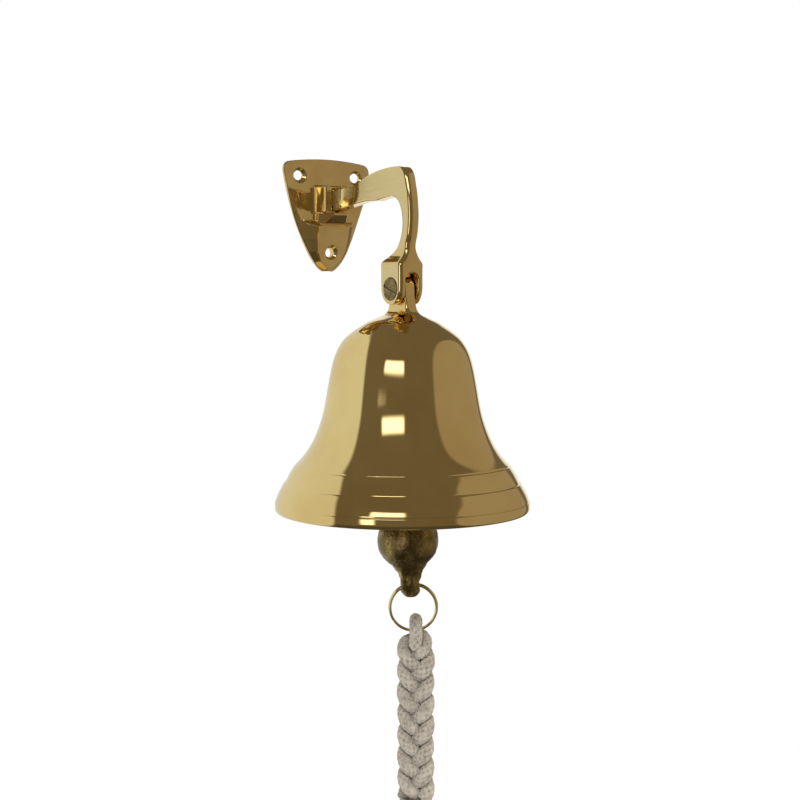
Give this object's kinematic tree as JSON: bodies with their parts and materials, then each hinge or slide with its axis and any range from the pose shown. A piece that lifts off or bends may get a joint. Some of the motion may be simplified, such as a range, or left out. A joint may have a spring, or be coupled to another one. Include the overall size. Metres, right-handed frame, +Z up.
{
  "type": "ship bell",
  "caption": "Wall-hung polished brass ship bell on a lift-out bracket, with a cast clapper, split ring and plaited rope lanyard.",
  "frame": {"origin": "centre of the wall plate's back face, in the plane of the wall", "axes": "+Z up, +Y into the wall, +X to the right for someone who faces the wall; the bell hangs towards -Y"},
  "size_m": [0.1506, 0.1548, 0.4265],
  "materials": {
    "plate_brass": "polished casting",
    "arm_brass": "filed satin flats with polished edges",
    "screw_bronze": "dull turned head",
    "bell_brass": "mirror polished, turned",
    "staple_brass": "dull wire",
    "link_brass": "dull wire",
    "clapper_brass": "rough sand casting",
    "ring_brass": "bright plated wire",
    "cotton_rope": "braided cotton, matt"
  },
  "bodies": {
    "mount": {"wall_plate": "plate_brass"},
    "arm": {"bracket_arm": "arm_brass", "pivot_screw": "screw_bronze"},
    "bell": {"bell_body": "bell_brass", "crown_staple": "staple_brass"},
    "link": {"clapper_link": "link_brass"},
    "clapper": {"clapper": "clapper_brass"},
    "ring": {"split_ring": "ring_brass"},
    "lanyard": {"lanyard_bight": "cotton_rope", "lanyard_plait": "cotton_rope", "lanyard_knot": "cotton_rope", "lanyard_tassel": "cotton_rope"}
  },
  "joints": [
    {"name": "arm_lift", "type": "slide", "parent": "mount", "child": "arm", "axis": [0, 0, 1], "range_m": [0, 0.018]},
    {"name": "bell_swing", "type": "hinge", "parent": "arm", "child": "bell", "pos_m": [0, -0.0795, -0.048], "axis": [-1, 0, 0], "range_deg": [-1.5, 60]},
    {"name": "link_swing", "type": "hinge", "parent": "bell", "child": "link", "pos_m": [0.00256, -0.08143, -0.084], "axis": [0.6018, 0.7986, 0], "range_deg": [-6, 6]},
    {"name": "clapper_swing", "type": "hinge", "parent": "link", "child": "clapper", "pos_m": [0.00256, -0.08143, -0.10295], "axis": [0.7986, -0.6018, 0], "range_deg": [-28, 28]},
    {"name": "ring_swing", "type": "hinge", "parent": "clapper", "child": "ring", "pos_m": [0.00256, -0.08143, -0.2229], "axis": [0.7986, -0.6018, 0], "range_deg": [-30, 30]},
    {"name": "lanyard_swing", "type": "hinge", "parent": "ring", "child": "lanyard", "pos_m": [0.00639, -0.08432, -0.2508], "axis": [0.7986, -0.6018, 0], "range_deg": [-35, 35]}
  ]
}
